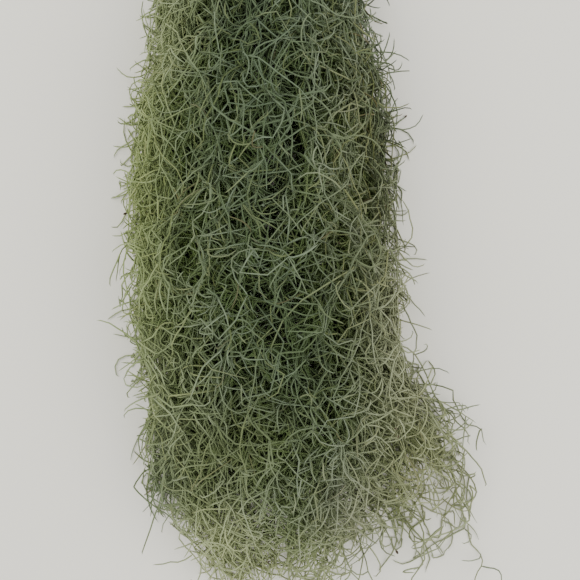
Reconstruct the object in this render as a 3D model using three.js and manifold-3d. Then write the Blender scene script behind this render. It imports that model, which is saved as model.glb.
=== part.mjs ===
// A bunch of Spanish moss (Tillandsia usneoides) as picked, lying on its side on a flat surface.
//
// The bunch is a bundle of long tresses. They are gathered at the head, run side by side in four
// layers, and spread into loose wisps at the other end. Each tress is one solid: a matted core, wiry
// stems that leave it, and the curling thread leaves that grow from both.
//
// Millimetres. +Z is up and Z = 0 is the surface. The head points to +Y and the wisps to -Y. The
// origin is under the middle of the bunch's bounding box.
import * as THREE from "three";
import { mergeVertices } from "three/addons/utils/BufferGeometryUtils.js";
import Module from "manifold-3d";

const wasm = await Module();
wasm.setup();

// ---------------------------------------------------------------- driving dimensions

// The bunch's outline by distance from the head: half its width, its height, and how far its middle
// lies to the side.
const OUTLINE = [
  { along: 0, halfWidth: 24, height: 36, aside: 0 },
  { along: 45, halfWidth: 53, height: 66, aside: -2 },
  { along: 115, halfWidth: 72, height: 86, aside: -4 },
  { along: 200, halfWidth: 87, height: 94, aside: -1 },
  { along: 280, halfWidth: 91, height: 94, aside: 1 },
  { along: 365, halfWidth: 88, height: 84, aside: 7 },
  { along: 410, halfWidth: 105, height: 66, aside: 22 },
  { along: 460, halfWidth: 104, height: 42, aside: 37 },
  { along: 500, halfWidth: 100, height: 28, aside: 48 },
  { along: 560, halfWidth: 90, height: 18, aside: 52 },
];

// The layers of tresses, from the surface up. Height is a share of the bunch's height there, and reach
// is the share of its half width that the outermost tresses' middles lie at.
const LAYERS = [
  { name: "bottom", tresses: 7, height: 0.1, reach: 0.86 },
  { name: "lower", tresses: 6, height: 0.35, reach: 0.76 },
  { name: "upper", tresses: 5, height: 0.62, reach: 0.6 },
  { name: "top", tresses: 4, height: 0.87, reach: 0.4 },
];

const CORE_START = 8; // how far the first core begins from the head
const CORE_START_SPREAD = 34; // the cores begin within this of each other
const CORE_END = 410; // where the shortest core ends, from the head
const CORE_END_SPREAD = 70; // the cores end within this of each other
const TOP_SHORTER = 36; // the top layer's cores end this much sooner
const CORE_SIDES = 3;
const CORE_RINGS = 18;
const CORE_FULL_RADIUS = 5.4; // the thickest that a core grows
const CORE_TIP_RADIUS = 1.6;
const CORE_ROUGHNESS = 0.3; // share by which a core's surface sinks between its tufts
const CORE_SWAY = 0.08; // how far a core wanders sideways from its lane, by the bunch's half width
const CORE_RISE = 0.07; // how far it wanders up and down, by the bunch's height
const CORE_SWAY_LENGTH = [110, 190]; // the distance over which it wanders out and back
const CORE_RIPPLE = 2.6; // how far it wavers besides, over a shorter distance
const CORE_RIPPLE_LENGTH = [52, 80];
const CORE_TWIST = [1.2, 3]; // radians that it turns about itself over a length of 100
const LYING_TWIST = [0.3, 0.6]; // the same for the bottom layer
const FLAT_AT = 260; // where a bottom core has its flat side down, from the head
const CORE_TAPER = 90; // length over which a core thins out at its tip
const CORE_HEAD_TAPER = 45; // length over which a core swells from the head
const CORE_SINK = 0.35; // height of a bottom core's middle, as a share of its radius

const THREAD_SIDES = 3;
const THREAD_ROOT_DEPTH = 0.55; // a thread's root lies this deep in its core, as a share of the radius
const LEAF_ROOT_RADIUS = 0.75;
const LEAF_LENGTH = [26, 47];
const LEAF_STEPS = 3;
const LEAF_CURL = [0.8, 2.4]; // radians that a leaf turns through from root to tip
const LEAF_CURL_POWER = 1.3; // above 1, a leaf curls more towards its tip
const LEAF_OUTWARD = [0.4, 0.8]; // how much a leaf sets off straight out of its core,
const LEAF_ALONG = [-0.4, 1.3]; // how much along it, towards its tip,
const LEAF_AROUND = [-0.9, 0.9]; // and how much around it
const LEAF_MARGIN = 4; // a core bears no leaf this near its ends
const STEM_ROOT_RADIUS = 0.95;
const STEM_LENGTH = [60, 108];
const STEM_STEPS = 7;
const STEM_OUTWARD = 0.8; // how much a stem sets off outwards before it trails along the bunch
const STEM_DROOP = 0.35; // how much it comes down to the surface at its tip
const STEM_WAVE = 0.6; // how much it winds from side to side
const STEM_WAVES = 1.1; // how often it does so
const STEM_NODE = 28; // distance between the places where a stem bears a leaf
const STEM_NODE_SHIFT = 0.2; // how far such a place may shift along the stem, by that distance
const STEM_LAST_NODE = 0.9; // share of the stem's length past which it bears none
const STEM_LEAF_ASIDE = [0.5, 1.3]; // how much its leaves set off to the side
const STEM_SIDES = [-0.2 * Math.PI, 1.2 * Math.PI]; // where around a core stems grow: its flanks and top

const END_STEMS = 24; // in all, at the tresses' thin ends
const END_STEM_ZONE = [4, 32]; // how far from its core's tip an end stem grows
const SIDE_STEMS = 12; // in all, along the tresses
const SIDE_STEM_MARGIN = [10, 90]; // none grows this near a core's head or tip
const LEANING_LEAVES = 2; // from each tress onto each of those beside and below it
const LEANING_SPREAD = 1; // radians that such a leaf may set off aside from the other tress
const FREE_LEAVES = 11; // tried for each core, outwards; the inner ones have room for few
const FREE_SPREAD = 1.5; // radians that a free leaf may point aside from straight outwards
const GAP = 0.3; // least distance between two tresses
const SEAT = 0.35; // distance at which a leaning leaf's tip comes to rest on another core
const SEAT_BEND = 14; // the most that its tip is bent over to reach it
const FLOOR_GAP = 1.05; // least height of a thread's middle above the surface
const TRIES = 40; // how often a thread is bent another way to keep it clear
const LEANING_TRIES = 200;
const SURFACE_STEP = 0.8; // distance between the points at which a thread is held against a core
const SEED = 20439;

const RING_SPACING = (CORE_END + CORE_END_SPREAD) / CORE_RINGS;
// How much of its radius a core fills where its surface sinks the most.
const CORE_INNER = (1 - CORE_ROUGHNESS) * Math.cos(Math.PI / CORE_SIDES);

const MOSS = new THREE.MeshStandardMaterial({ color: 0x7c8a66, roughness: 0.9, metalness: 0 });

// ---------------------------------------------------------------- small helpers

// A seeded random number from 0 to 1 (mulberry32).
let state = SEED;
function random() {
  state = (state + 0x6d2b79f5) | 0;
  let t = Math.imul(state ^ (state >>> 15), 1 | state);
  t = (t + Math.imul(t ^ (t >>> 7), 61 | t)) ^ t;
  return ((t ^ (t >>> 14)) >>> 0) / 4294967296;
}

const between = (low, high) => low + (high - low) * random();
const vector = (x, y, z) => new THREE.Vector3(x, y, z);

// A seeded wave whose length lies in a range.
function wave(lengths) {
  const turn = (2 * Math.PI) / between(...lengths);
  const phase = between(0, 2 * Math.PI);
  return (along) => Math.sin(turn * along + phase);
}

// One column of the outline at a distance from the head, straight between its rows.
function outlineAt(along, column) {
  const next = OUTLINE.findIndex((row) => row.along > along);
  if (next < 0) return OUTLINE[OUTLINE.length - 1][column];
  if (next === 0) return OUTLINE[0][column];
  const before = OUTLINE[next - 1];
  const after = OUTLINE[next];
  const share = (along - before.along) / (after.along - before.along);
  return THREE.MathUtils.lerp(before[column], after[column], share);
}

// The shortest distance between segments a-b and c-d.
function segmentDistance(a, b, c, d) {
  const u = b.clone().sub(a);
  const v = d.clone().sub(c);
  const w = a.clone().sub(c);
  const uu = u.dot(u);
  const uv = u.dot(v);
  const vv = v.dot(v);
  const uw = u.dot(w);
  const vw = v.dot(w);
  const clamp = (value) => Math.min(1, Math.max(0, value));
  const area = uu * vv - uv * uv;
  let s = area > 1e-9 ? clamp((uv * vw - vv * uw) / area) : 0;
  const t = clamp((uv * s + vw) / vv);
  s = clamp((uv * t - uw) / uu);
  return w.addScaledVector(u, s).addScaledVector(v, -t).length();
}

// A closed three.js geometry as a manifold-3d solid.
function solidOf(geometry) {
  const bare = geometry.clone();
  bare.deleteAttribute("normal");
  bare.deleteAttribute("uv");
  const merged = mergeVertices(bare, 1e-4);
  return new wasm.Manifold(
    new wasm.Mesh({
      numProp: 3,
      vertProperties: merged.attributes.position.array,
      triVerts: new Uint32Array(merged.index.array),
    }),
  );
}

// A manifold-3d solid as a three.js geometry. Any loose scrap beside its largest body is dropped.
function geometryOf(solid) {
  const bodies = solid.decompose().sort((a, b) => b.volume() - a.volume());
  const mesh = bodies[0].getMesh();
  const geometry = new THREE.BufferGeometry()
    .setAttribute("position", new THREE.BufferAttribute(new Float32Array(mesh.vertProperties), 3))
    .setIndex(new THREE.BufferAttribute(new Uint32Array(mesh.triVerts), 1));
  geometry.computeVertexNormals();
  return geometry;
}

// ---------------------------------------------------------------- the tresses' cores

// Every tress, with the rule that gives its core's middle at a distance from the head.
function layOutTresses() {
  const tresses = [];
  for (const layer of LAYERS)
    for (let i = 0; i < layer.tresses; i++) {
      const lane = (2 * i) / (layer.tresses - 1) - 1;
      const sways = [0, 1].map(() => wave(CORE_SWAY_LENGTH));
      const ripples = [0, 1].map(() => wave(CORE_RIPPLE_LENGTH));
      const shorter = layer.name === "top" ? TOP_SHORTER : 0;
      tresses.push({
        name: layer.name + "_tress_" + (i + 1),
        layer,
        start: CORE_START + between(0, CORE_START_SPREAD),
        end: CORE_END + between(0, CORE_END_SPREAD) - shorter,
        twist: between(...(layer === LAYERS[0] ? LYING_TWIST : CORE_TWIST)) / 100,
        middle: (along) => {
          const half = outlineAt(along, "halfWidth");
          const height = outlineAt(along, "height");
          const sideways = CORE_SWAY * half * sways[0](along) + CORE_RIPPLE * ripples[0](along);
          const upwards = CORE_RISE * height * sways[1](along) + CORE_RIPPLE * ripples[1](along);
          return vector(
            outlineAt(along, "aside") + lane * layer.reach * half + sideways,
            -along,
            layer.height * height + upwards,
          );
        },
      });
    }
  return tresses;
}

// How thick a core is at a distance from the head: it swells from the head, and thins out at its tip.
function wantedRadius(tress, along) {
  const swelling = Math.min((tress.end - along) / CORE_TAPER, (along - tress.start) / CORE_HEAD_TAPER);
  return Math.max(CORE_TIP_RADIUS, CORE_FULL_RADIUS * Math.sqrt(THREE.MathUtils.clamp(swelling, 0, 1)));
}

// Half the way to the nearest other tress, less half the gap.
function roomFor(tress, middles) {
  const here = middles.get(tress);
  let least = Infinity;
  for (const [other, there] of middles)
    if (other !== tress) least = Math.min(least, here.distanceTo(there) / 2 - GAP / 2);
  return least;
}

// Gives each tress its rings: the core's middle and radius at shared distances from the head, so that
// the rings of neighbours lie in one plane.
function addRings(tresses) {
  for (const tress of tresses) tress.rings = [];
  for (let k = 0; k <= CORE_RINGS; k++) {
    for (const tress of tresses) {
      const along = THREE.MathUtils.clamp(k * RING_SPACING, tress.start, tress.end);
      const middles = new Map(tresses.map((other) => [other, other.middle(along)]));
      const settle = (other) => Math.min(roomFor(other, middles), wantedRadius(other, along));
      for (const other of tresses)
        if (other.layer === LAYERS[0]) {
          const at = middles.get(other);
          at.z = Math.min(at.z, CORE_SINK * settle(other));
        }
      const before = tress.rings[tress.rings.length - 1];
      if (before && Math.abs(before.along - along) < 1) continue;
      tress.rings.push({ along, middle: middles.get(tress), radius: settle(tress) });
    }
  }
}

// The core: a twisted rod whose rings follow the tress, with a rough surface. Where it would reach
// below the surface that the bunch lies on, it is pressed flat.
function coreRod(tress) {
  const steps = tress.rings.length - 1;
  const rod = new THREE.CylinderGeometry(1, 1, 1, CORE_SIDES, steps);
  const place = rod.attributes.position;
  const rough = new Map();
  for (let i = 0; i < place.count; i++) {
    const v = vector().fromBufferAttribute(place, i);
    const ring = tress.rings[Math.round((0.5 - v.y) * steps)];
    const turn = Math.atan2(v.x, v.z);
    const corner = Math.round((turn / (2 * Math.PI) + 1) * CORE_SIDES) % CORE_SIDES;
    const key = corner + " at " + ring.along;
    if (!rough.has(key)) rough.set(key, 1 - CORE_ROUGHNESS * random());
    const reach = Math.hypot(v.x, v.z) < 0.5 ? 0 : ring.radius * rough.get(key);
    const twisted = turn + (ring.along - FLAT_AT) * tress.twist;
    const height = Math.max(0, ring.middle.z + reach * Math.cos(twisted));
    place.setXYZ(i, ring.middle.x + reach * Math.sin(twisted), ring.middle.y, height);
  }
  return rod;
}

// A geometry's triangles.
function facesOf(geometry) {
  const faces = [];
  const order = geometry.index;
  for (let i = 0; i < order.count; i += 3) {
    const face = new THREE.Triangle();
    face.setFromAttributeAndIndices(
      geometry.attributes.position,
      order.getX(i),
      order.getX(i + 1),
      order.getX(i + 2),
    );
    if (face.getArea() > 0) faces.push(face);
  }
  return faces;
}

// The point of a core's surface that is nearest to another point.
function nearestOnCore(tress, point) {
  const onFace = vector();
  const nearest = vector(Infinity, Infinity, Infinity);
  for (const face of tress.faces) {
    if (Math.abs(face.a.y - point.y) > RING_SPACING + CORE_FULL_RADIUS) continue;
    face.closestPointToPoint(point, onFace);
    if (onFace.distanceTo(point) < nearest.distanceTo(point)) nearest.copy(onFace);
  }
  return nearest;
}

// The core's middle and radius at any distance from the head.
function coreAt(tress, along) {
  const rings = tress.rings;
  const next = Math.max(1, rings.findIndex((ring) => ring.along >= along));
  const before = rings[next - 1];
  const after = rings[next];
  const share = THREE.MathUtils.clamp((along - before.along) / (after.along - before.along), 0, 1);
  return {
    middle: before.middle.clone().lerp(after.middle, share),
    radius: THREE.MathUtils.lerp(before.radius, after.radius, share),
  };
}

// ---------------------------------------------------------------- threads: stems and leaves

// Everything that a new thread has to stay clear of: rods, each from a to b with a radius.
const rods = [];

function addRods(tress, points, radii, isCore) {
  for (let i = 0; i + 1 < points.length; i++)
    rods.push({ tress, a: points[i], b: points[i + 1], radius: Math.max(radii[i], radii[i + 1]), isCore });
}

// How thick a thread is at each of its points: it tapers to a point, most of all near its tip.
const threadRadii = (rootRadius, steps) =>
  Array.from({ length: steps + 1 }, (_, k) => rootRadius * Math.sqrt(1 - (k / steps) ** 2));

// The gap between the rough surface of a core and a stretch of thread from a to b.
function gapToCore(tress, a, b, radiusA, radiusB) {
  const samples = Math.ceil(a.distanceTo(b) / SURFACE_STEP);
  let least = Infinity;
  for (let i = 0; i <= samples; i++) {
    const share = i / samples;
    const point = a.clone().lerp(b, share);
    const radius = THREE.MathUtils.lerp(radiusA, radiusB, share);
    least = Math.min(least, nearestOnCore(tress, point).distanceTo(point) - radius);
  }
  return least;
}

// True where a thread keeps its distance from the other tresses and, away from its root, doesn't run
// through its own. A core is thinner than the rod around it, so a near one is measured at its surface.
function isClear(tress, points, radii, rootSteps) {
  for (let i = 0; i + 1 < points.length; i++) {
    const [a, b] = [points[i], points[i + 1]];
    const radius = Math.max(radii[i], radii[i + 1]);
    for (const rod of rods) {
      const own = rod.tress === tress;
      if (own && i < rootSteps) continue;
      if (Math.min(a.y, b.y) - Math.max(rod.a.y, rod.b.y) > radius + rod.radius + GAP) continue;
      if (Math.min(rod.a.y, rod.b.y) - Math.max(a.y, b.y) > radius + rod.radius + GAP) continue;
      const apart = segmentDistance(a, b, rod.a, rod.b) - radius;
      if (apart - rod.radius >= (own ? 0 : GAP)) continue;
      if (own || !rod.isCore) return false;
      if (apart < rod.radius * CORE_INNER) return false;
      if (gapToCore(rod.tress, a, b, radii[i], radii[i + 1]) < GAP) return false;
    }
  }
  return true;
}

const onSurface = (point) => point.setZ(Math.max(point.z, FLOOR_GAP));
const anyWay = () => vector(between(-1, 1), between(-1, 1), between(-1, 1));

// A leaf's points: an arc from its root that bends towards a side, and turns more towards its tip.
function leafPoints(root, direction, towards) {
  const length = between(...LEAF_LENGTH);
  const curl = between(...LEAF_CURL);
  const axis = direction.clone().cross(towards).normalize();
  const points = [root.clone()];
  const at = root.clone();
  for (let i = 0; i < LEAF_STEPS; i++) {
    const turned = curl * Math.pow((i + 0.5) / LEAF_STEPS, LEAF_CURL_POWER);
    at.addScaledVector(direction.clone().applyAxisAngle(axis, turned), length / LEAF_STEPS);
    points.push(onSurface(at.clone()));
  }
  return points;
}

// A stem's points: it leaves its root outwards, then trails along its tress's lane in loose waves.
function stemPoints(tress, root, outward) {
  const length = between(...STEM_LENGTH);
  const phase = between(0, 2 * Math.PI);
  const across = vector(between(-1, 1), 0, between(-1, 1)).normalize();
  const points = [root.clone()];
  const at = root.clone();
  for (let i = 0; i < STEM_STEPS; i++) {
    const share = (i + 0.5) / STEM_STEPS;
    const wave = STEM_WAVE * Math.sin(phase + 2 * Math.PI * STEM_WAVES * share);
    const aside = tress.middle(1 - at.y).x - tress.middle(-at.y).x;
    const direction = vector(aside, -1, -STEM_DROOP * share)
      .addScaledVector(outward, STEM_OUTWARD * (1 - share))
      .addScaledVector(across, wave)
      .normalize();
    at.addScaledVector(direction, length / STEM_STEPS);
    points.push(onSurface(at.clone()));
  }
  return points;
}

// A thread with few sides, bent along its points.
function threadSolid(points, radii) {
  const steps = points.length - 1;
  const frames = new THREE.CatmullRomCurve3(points).computeFrenetFrames(steps);
  const rod = new THREE.CylinderGeometry(0, 1, 1, THREAD_SIDES, steps);
  const place = rod.attributes.position;
  for (let i = 0; i < place.count; i++) {
    const v = vector().fromBufferAttribute(place, i);
    const k = Math.round((v.y + 0.5) * steps);
    const thickness = radii[k] / (Math.hypot(v.x, v.z) || 1);
    const bent = points[k]
      .clone()
      .addScaledVector(frames.binormals[k], v.x * thickness)
      .addScaledVector(frames.normals[k], v.z * thickness);
    place.setXYZ(i, bent.x, bent.y, bent.z);
  }
  return solidOf(rod);
}

// Draws threads until one keeps clear, and adds it to its tress. Returns its points, or null.
function growThread(tress, rootRadius, rootSteps, tries, draw) {
  for (let i = 0; i < tries; i++) {
    const points = draw();
    if (!points) continue;
    const radii = threadRadii(rootRadius, points.length - 1);
    if (!isClear(tress, points, radii, rootSteps)) continue;
    addRods(tress, points, radii, false);
    tress.solids.push(threadSolid(points, radii));
    return points;
  }
  return null;
}

// A leaf on a core, between two shares of its length, on the side that an angle rule gives.
function drawLeaf(tress, low, high, angleAt) {
  const share = between(low, high);
  const along = THREE.MathUtils.lerp(tress.start + LEAF_MARGIN, tress.end - LEAF_MARGIN, share);
  const core = coreAt(tress, along);
  const angle = angleAt(along, core.middle);
  const outward = vector(Math.cos(angle), 0, Math.sin(angle));
  const direction = vector(0, -between(...LEAF_ALONG), 0)
    .addScaledVector(outward, between(...LEAF_OUTWARD))
    .addScaledVector(vector(-outward.z, 0, outward.x), between(...LEAF_AROUND))
    .normalize();
  const root = core.middle.addScaledVector(outward, core.radius * (1 - THREAD_ROOT_DEPTH));
  return leafPoints(onSurface(root), direction, anyWay().addScaledVector(outward, -1));
}

// A free leaf points away from the bunch's middle. Each has its own stretch of the core.
function growFreeLeaf(tress, i) {
  const outwards = (along, middle) =>
    Math.atan2(middle.z - outlineAt(along, "height") / 2, middle.x - outlineAt(along, "aside")) +
    between(-FREE_SPREAD, FREE_SPREAD);
  growThread(tress, LEAF_ROOT_RADIUS, 1, TRIES, () =>
    drawLeaf(tress, i / FREE_LEAVES, (i + 1) / FREE_LEAVES, outwards),
  );
}

// A leaning leaf lies across to another tress: it is bent over until its tip rests on the core there.
function growLeaningLeaf(tress, other) {
  const towardsOther = (along, middle) => {
    const there = coreAt(other, along).middle;
    const aside = between(-LEANING_SPREAD, LEANING_SPREAD);
    return Math.atan2(there.z - middle.z, there.x - middle.x) + aside;
  };
  return growThread(tress, LEAF_ROOT_RADIUS, 1, LEANING_TRIES, () => {
    const points = drawLeaf(tress, 0, 1, towardsOther);
    const tip = points[LEAF_STEPS];
    const bend = nearestOnCore(other, tip).sub(tip);
    const far = bend.length() - SEAT;
    if (far > SEAT_BEND) return null;
    bend.setLength(far);
    return points.map((point, k) => onSurface(point.clone().addScaledVector(bend, (k / LEAF_STEPS) ** 2)));
  });
}

function growLeavesOnStem(tress, stem) {
  const path = new THREE.CatmullRomCurve3(stem);
  const nodes = Math.floor(path.getLength() / STEM_NODE);
  for (let i = 1; i <= nodes; i++)
    growThread(tress, LEAF_ROOT_RADIUS, 1, TRIES, () => {
      const shift = between(-STEM_NODE_SHIFT, STEM_NODE_SHIFT);
      const share = Math.min(STEM_LAST_NODE, (i + shift) / nodes);
      const along = path.getTangentAt(share);
      const aside = anyWay().cross(along).normalize();
      const direction = along.addScaledVector(aside, between(...STEM_LEAF_ASIDE)).normalize();
      return leafPoints(path.getPointAt(share), direction, anyWay());
    });
}

// A stem on the core's upper side or one of its flanks, with its leaves.
function growStem(tress, alongLow, alongHigh) {
  const stem = growThread(tress, STEM_ROOT_RADIUS, 2, TRIES, () => {
    const core = coreAt(tress, between(alongLow, alongHigh));
    const angle = between(...STEM_SIDES);
    const outward = vector(Math.cos(angle), 0, Math.sin(angle));
    const root = core.middle.addScaledVector(outward, core.radius * (1 - THREAD_ROOT_DEPTH));
    return stemPoints(tress, onSurface(root), outward);
  });
  if (stem) growLeavesOnStem(tress, stem);
}

// The tresses that one leans on: the one before it in its layer, and the nearest in the layer below.
function seatsOf(tress, tresses) {
  const halfway = (CORE_START + CORE_END) / 2;
  const here = tress.middle(halfway);
  const below = tresses
    .filter((other) => other.layer === LAYERS[LAYERS.indexOf(tress.layer) - 1])
    .sort((a, b) => a.middle(halfway).distanceTo(here) - b.middle(halfway).distanceTo(here));
  const before = tresses[tresses.indexOf(tress) - 1];
  return [below[0], before && before.layer === tress.layer ? before : null].filter(Boolean);
}

// ---------------------------------------------------------------- the bunch

const tresses = layOutTresses();
addRings(tresses);
for (const tress of tresses) {
  const rod = coreRod(tress);
  tress.faces = facesOf(rod);
  tress.solids = [solidOf(rod)];
  addRods(
    tress,
    tress.rings.map((ring) => ring.middle),
    tress.rings.map((ring) => ring.radius),
    true,
  );
}
for (const tress of tresses)
  for (const other of seatsOf(tress, tresses))
    for (let i = 0; i < LEANING_LEAVES; i++) growLeaningLeaf(tress, other);
for (let i = 0; i < END_STEMS; i++) {
  const tress = tresses[i % tresses.length];
  growStem(tress, tress.end - END_STEM_ZONE[1], tress.end - END_STEM_ZONE[0]);
}
for (let i = 0; i < SIDE_STEMS; i++) {
  const tress = tresses[Math.floor(between(0, tresses.length))];
  growStem(tress, tress.start + SIDE_STEM_MARGIN[0], tress.end - SIDE_STEM_MARGIN[1]);
}
for (const tress of tresses) for (let i = 0; i < FREE_LEAVES; i++) growFreeLeaf(tress, i);

const bunch = new THREE.Group();
bunch.name = "spanish_moss_bunch";
for (const tress of tresses) {
  const mesh = new THREE.Mesh(geometryOf(wasm.Manifold.union(tress.solids)), MOSS);
  mesh.name = tress.name;
  bunch.add(mesh);
}

// The origin goes under the middle of the bounding box.
const box = new THREE.Box3().setFromObject(bunch, true);
const middle = box.getCenter(vector());
bunch.position.set(-middle.x, -middle.y, -box.min.z);

export default bunch;
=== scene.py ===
# %% [markdown]
# # A bunch of Spanish moss, lying on its side
#
# Spanish moss is an air plant. It is nothing but threads: long wiry stems, and thin curling leaves that
# leave them every few centimetres. Both are covered in tiny grey scales that drink the rain, which makes
# the plant look frosted and sage green.
#
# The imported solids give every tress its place: a slim core, a few stems and a few leaves. This lesson
# grows the thousands of fine threads around each of them.

# %% The frame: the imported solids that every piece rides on
import math

import bmesh
import bpy
import numpy as np
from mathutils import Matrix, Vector
from mathutils.bvhtree import BVHTree


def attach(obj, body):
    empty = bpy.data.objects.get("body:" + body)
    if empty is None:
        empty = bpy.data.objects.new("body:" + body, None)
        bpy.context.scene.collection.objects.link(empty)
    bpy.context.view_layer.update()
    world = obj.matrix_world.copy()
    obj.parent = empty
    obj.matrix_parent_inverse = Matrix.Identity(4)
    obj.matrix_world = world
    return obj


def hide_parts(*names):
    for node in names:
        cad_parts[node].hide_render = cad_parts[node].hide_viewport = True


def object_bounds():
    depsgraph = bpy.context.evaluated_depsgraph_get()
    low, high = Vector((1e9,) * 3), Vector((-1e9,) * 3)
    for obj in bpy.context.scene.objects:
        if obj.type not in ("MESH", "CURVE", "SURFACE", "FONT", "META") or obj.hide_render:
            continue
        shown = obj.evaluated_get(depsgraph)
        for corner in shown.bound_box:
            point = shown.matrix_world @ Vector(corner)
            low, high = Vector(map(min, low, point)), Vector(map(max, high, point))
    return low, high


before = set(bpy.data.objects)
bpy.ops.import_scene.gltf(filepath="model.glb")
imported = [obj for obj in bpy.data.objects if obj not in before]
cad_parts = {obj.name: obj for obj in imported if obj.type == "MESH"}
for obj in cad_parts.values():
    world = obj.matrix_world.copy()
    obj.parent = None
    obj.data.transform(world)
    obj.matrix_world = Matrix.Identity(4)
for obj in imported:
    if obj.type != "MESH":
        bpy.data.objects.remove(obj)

CAD_BOX = [list(corner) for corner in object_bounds()]
TRESSES = sorted(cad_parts)
print("tresses:", len(TRESSES))
print("solids' box in mm:", [[round(1000 * x, 1) for x in corner] for corner in CAD_BOX])

# %% [markdown]
# ## Measuring the solids
#
# A thread has to grow out of something. Points could be typed in by hand, but the solids already say
# where each tress runs, so seeded random points on their surface are better roots. A ray shot inwards
# from each triangle tells a core, which is several millimetres thick, from a thin stem or leaf.

# %% A solid's triangles, and how thick it is below them
CORE_THICKNESS = 0.0022  # what is thicker than this is a core
RAY_START = 1e-5  # how far inside the surface a ray starts
TINY = 1e-12  # least length that is divided by


def unit(vectors):
    return vectors / np.maximum(np.linalg.norm(vectors, axis=-1, keepdims=True), TINY)


def thickness_at(tree, points, outward):
    """How thick a solid is below each of some points of its surface."""
    found = []
    for point, way in zip(points, outward):
        hit = tree.ray_cast(Vector(point - RAY_START * way), Vector(-way))
        found.append(hit[3] if hit[3] is not None else 0.0)
    return np.array(found)


def measure(node):
    """The triangles of a solid as arrays, and a tree that rays can be shot into."""
    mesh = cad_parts[node].data
    mesh.calc_loop_triangles()
    corners = np.array([vertex.co for vertex in mesh.vertices])
    faces = np.array([triangle.vertices for triangle in mesh.loop_triangles])
    a, b, c = (corners[faces[:, i]] for i in range(3))
    across = np.cross(b - a, c - a)
    middle, outward = (a + b + c) / 3, unit(across)
    tree = BVHTree.FromPolygons(corners.tolist(), faces.tolist())
    return {
        "a": a, "b": b, "c": c, "middle": middle, "outward": outward, "tree": tree,
        "area": np.linalg.norm(across, axis=1) / 2, "thickness": thickness_at(tree, middle, outward),
    }


SOLIDS = {node: measure(node) for node in TRESSES}
print("triangles in the solids:", sum(len(solid["area"]) for solid in SOLIDS.values()))

# %% [markdown]
# ## The shape of the whole bunch
#
# Threads run along the bunch, closing in at the head and spreading at the loose end, and the inner ones
# are darkened with painted shade. So both their growth and their colour need to know where in the bunch a
# place is. Its cross section is close to half an ellipse that stands on the surface, so its middle, half
# width and height are measured in slabs along the bunch.

# %% The bunch's outline, measured in slabs along Y
SLAB = 0.02
EDGE = 0.02  # share of a slab's surface past its outline on either side
SPOTS = 600  # on each solid


def pick_points(solid, count, draw, worth=None):
    """Random points on a solid, by area or by area times worth, and the outward way at each."""
    chance = solid["area"] if worth is None else solid["area"] * worth
    face = draw.choice(len(chance), count, p=chance / chance.sum())
    share = draw.random((2, count, 1))
    folded = np.where(share.sum(0) > 1, 1 - share, share)
    a, b, c = (solid[corner][face] for corner in "abc")
    return a + folded[0] * (b - a) + folded[1] * (c - a), solid["outward"][face]


draw = np.random.default_rng(seed=7)
spots = np.concatenate([pick_points(solid, SPOTS, draw)[0] for solid in SOLIDS.values()])
STATIONS = np.arange(spots[:, 1].min() + SLAB, spots[:, 1].max() - SLAB / 2, SLAB)
rows = []
for y in STATIONS:
    slab = spots[abs(spots[:, 1] - y) < SLAB]
    left, right = np.quantile(slab[:, 0], (EDGE, 1 - EDGE))
    rows.append(((left + right) / 2, (right - left) / 2, np.quantile(slab[:, 2], 1 - EDGE)))
padded = np.concatenate([rows[:1], rows, rows[-1:]])
OUTLINE = (padded[:-2] + 2 * padded[1:-1] + padded[2:]) / 4
for column, name in enumerate(("middle", "half width", "height")):
    print(name, "in mm:", [int(1000 * x) for x in OUTLINE[:, column]])

# %% Where in the bunch a place is, and which way is out
HEART = 0.3  # the ways out of the bunch start at this share of its height


def outline_at(y):
    """The bunch's middle, half width and height at some places along Y."""
    return (np.interp(y, STATIONS, OUTLINE[:, column]) for column in range(3))


def radius_in_bunch(points):
    """0 in the middle of the bunch, on the surface that it lies on, and 1 at its outline."""
    middle, half, height = outline_at(points[..., 1])
    return np.hypot((points[..., 0] - middle) / half, points[..., 2] / height)


def outward_in_bunch(points):
    """The level or upward way out of the bunch at each point."""
    middle, half, height = outline_at(points[..., 1])
    return unit(np.stack([
        (points[..., 0] - middle) / half**2,
        np.zeros_like(middle),
        (points[..., 2] - HEART * height) / height**2,
    ], axis=-1))


print("mean radius of the solids:", radius_in_bunch(spots).mean().round(2))

# %% Which way threads run, and how strictly
PAST = 1.1  # places farther out than this radius count as if they were here
FLARE_X = (0.03, 0.08)  # where the loose end fans out to the right
FLARE_Y = (-0.06, -0.12)
FAN = 0.15  # sideways share of the threads' way there
LOOSE_Y = (-0.02, -0.12)  # from here on, threads go more and more their own way
LEAST_LOOSE = 0.4  # and this much of it everywhere else


def smooth(value, low, high):
    """0 up to low and 1 from high on, with a soft rise between them."""
    share = np.clip((value - low) / (high - low), 0, 1)
    return share * share * (3 - 2 * share)


def flare_at(points):
    """1 at the loose end's right side, where the threads fan out, and 0 elsewhere."""
    return smooth(points[..., 0], *FLARE_X) * smooth(points[..., 1], *FLARE_Y)


def flow_in_bunch(points):
    """The way in which the tresses run at each point, towards the loose end."""
    middle, half, height = outline_at(points[..., 1])
    lane = np.clip((points[..., 0] - middle) / half, -PAST, PAST)
    rise = np.clip(points[..., 2] / height, 0, PAST)
    next_middle, next_half, next_height = outline_at(points[..., 1] - SLAB)
    return unit(np.stack([
        next_middle - middle + lane * (next_half - half) + FAN * SLAB * flare_at(points),
        np.full_like(middle, -SLAB),
        rise * (next_height - height),
    ], axis=-1))


def looseness(points):
    """1 at the loose end, where threads go every way, and less where they follow the bunch."""
    return LEAST_LOOSE + (1 - LEAST_LOOSE) * smooth(points[:, 1], *LOOSE_Y)[:, None]


print("mean way along the bunch:", flow_in_bunch(spots).mean(0).round(2))

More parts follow.
